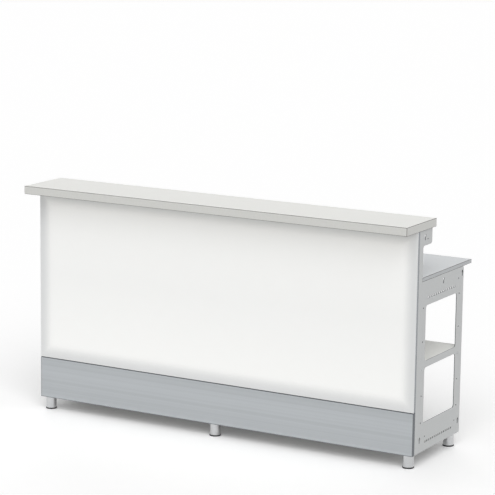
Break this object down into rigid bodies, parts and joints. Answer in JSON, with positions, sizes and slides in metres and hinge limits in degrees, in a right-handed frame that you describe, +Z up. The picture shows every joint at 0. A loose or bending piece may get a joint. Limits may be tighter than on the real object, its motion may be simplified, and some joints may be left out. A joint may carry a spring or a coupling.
{
  "type": "illuminated bar counter",
  "caption": "Free-standing bar counter with a backlit front over a kick panel, a raised bar top, a rear worktop and open shelves on folded sheet frames with levelling feet.",
  "frame": {"origin": "on the floor, midway along the length and midway between the bar top's front edge and the worktop's rear edge", "axes": "+X along the counter towards the end seen in the picture, +Y from the customer towards the bartender, +Z up"},
  "size_m": [2, 0.7, 1.11],
  "materials": {
    "bar_laminate": "white satin laminate on board",
    "worktop_laminate": "pale grey satin laminate on board",
    "shelf_laminate": "off-white melamine on board",
    "kick_laminate": "brushed metal laminate on board",
    "opal_acrylic": "opal acrylic sheet, lit from behind",
    "anodised_aluminium": "satin anodised extrusion",
    "powder_coat": "light powder coat on folded sheet steel",
    "rail_steel": "galvanised folded section",
    "splash_steel": "brushed stainless sheet",
    "liner_sheet": "white foamed sheet",
    "leg_steel": "brushed stainless tube",
    "foot_nylon": "black moulded nylon",
    "strip_rubber": "black cellular rubber",
    "plated_fasteners": "bright zinc plate",
    "led_board": "white circuit board with LEDs",
    "box_paint": "grey powder coat on sheet steel",
    "driver_case": "anodised case",
    "inlet_plastic": "black moulded thermoplastic",
    "pin_brass": "nickelled brass",
    "rocker_plastic": "black gloss moulding",
    "lead_sheath": "black flexible sheath",
    "clip_nylon": "white moulded nylon"
  },
  "bodies": {
    "counter": {"bar_top": "bar_laminate", "base_shelf_left": "shelf_laminate", "base_shelf_right": "shelf_laminate", "bay_liner_left": "liner_sheet", "bay_liner_right": "liner_sheet", "box_screws": "plated_fasteners", "front_middle_rail_left": "rail_steel", "front_middle_rail_right": "rail_steel", "front_top_rail_left": "rail_steel", "front_top_rail_right": "rail_steel", "inlet_pins": "pin_brass", "kick_panel": "kick_laminate", "lead_clips": "clip_nylon", "lead_grommets": "strip_rubber", "led_driver": "driver_case", "led_leads_left": "lead_sheath", "led_leads_right": "lead_sheath", "led_profiles": "anodised_aluminium", "led_strips": "led_board", "left_frame": "powder_coat", "leg_bushes": "foot_nylon", "leg_nuts": "plated_fasteners", "leg_tube_front_left": "leg_steel", "leg_tube_front_middle": "leg_steel", "leg_tube_front_right": "leg_steel", "leg_tube_rear_left": "leg_steel", "leg_tube_rear_middle": "leg_steel", "leg_tube_rear_right": "leg_steel", "light_panel_face": "opal_acrylic", "light_panel_frame": "anodised_aluminium", "middle_frame": "powder_coat", "middle_shelf_left": "shelf_laminate", "middle_shelf_right": "shelf_laminate", "packing_strips": "strip_rubber", "panel_screws": "plated_fasteners", "power_box": "box_paint", "power_box_lid": "box_paint", "power_inlet": "inlet_plastic", "rail_screws": "plated_fasteners", "right_frame": "powder_coat", "shelf_bolts": "plated_fasteners", "shelf_brackets": "powder_coat", "splashback_left": "splash_steel", "splashback_right": "splash_steel", "top_screws": "plated_fasteners", "worktop": "worktop_laminate", "worktop_front_rail_left": "rail_steel", "worktop_front_rail_right": "rail_steel", "worktop_rear_rail_left": "rail_steel", "worktop_rear_rail_right": "rail_steel"},
    "foot_front_left": {"levelling_foot_front_left": "foot_nylon"},
    "foot_front_middle": {"levelling_foot_front_middle": "foot_nylon"},
    "foot_front_right": {"levelling_foot_front_right": "foot_nylon"},
    "foot_rear_left": {"levelling_foot_rear_left": "foot_nylon"},
    "foot_rear_middle": {"levelling_foot_rear_middle": "foot_nylon"},
    "foot_rear_right": {"levelling_foot_rear_right": "foot_nylon"},
    "rocker": {"rocker_switch": "rocker_plastic"}
  },
  "joints": [
    {"name": "level_front_left", "type": "slide", "parent": "counter", "child": "foot_front_left", "axis": [0, 0, -1], "range_m": [0, 0.025]},
    {"name": "level_front_middle", "type": "slide", "parent": "counter", "child": "foot_front_middle", "axis": [0, 0, -1], "range_m": [0, 0.025]},
    {"name": "level_front_right", "type": "slide", "parent": "counter", "child": "foot_front_right", "axis": [0, 0, -1], "range_m": [0, 0.025]},
    {"name": "level_rear_left", "type": "slide", "parent": "counter", "child": "foot_rear_left", "axis": [0, 0, -1], "range_m": [0, 0.025]},
    {"name": "level_rear_middle", "type": "slide", "parent": "counter", "child": "foot_rear_middle", "axis": [0, 0, -1], "range_m": [0, 0.025]},
    {"name": "level_rear_right", "type": "slide", "parent": "counter", "child": "foot_rear_right", "axis": [0, 0, -1], "range_m": [0, 0.025]},
    {"name": "switch_tilt", "type": "hinge", "parent": "counter", "child": "rocker", "pos_m": [-0.116, 0.1815, 0.792], "axis": [1, 0, 0], "range_deg": [0, 20]}
  ]
}
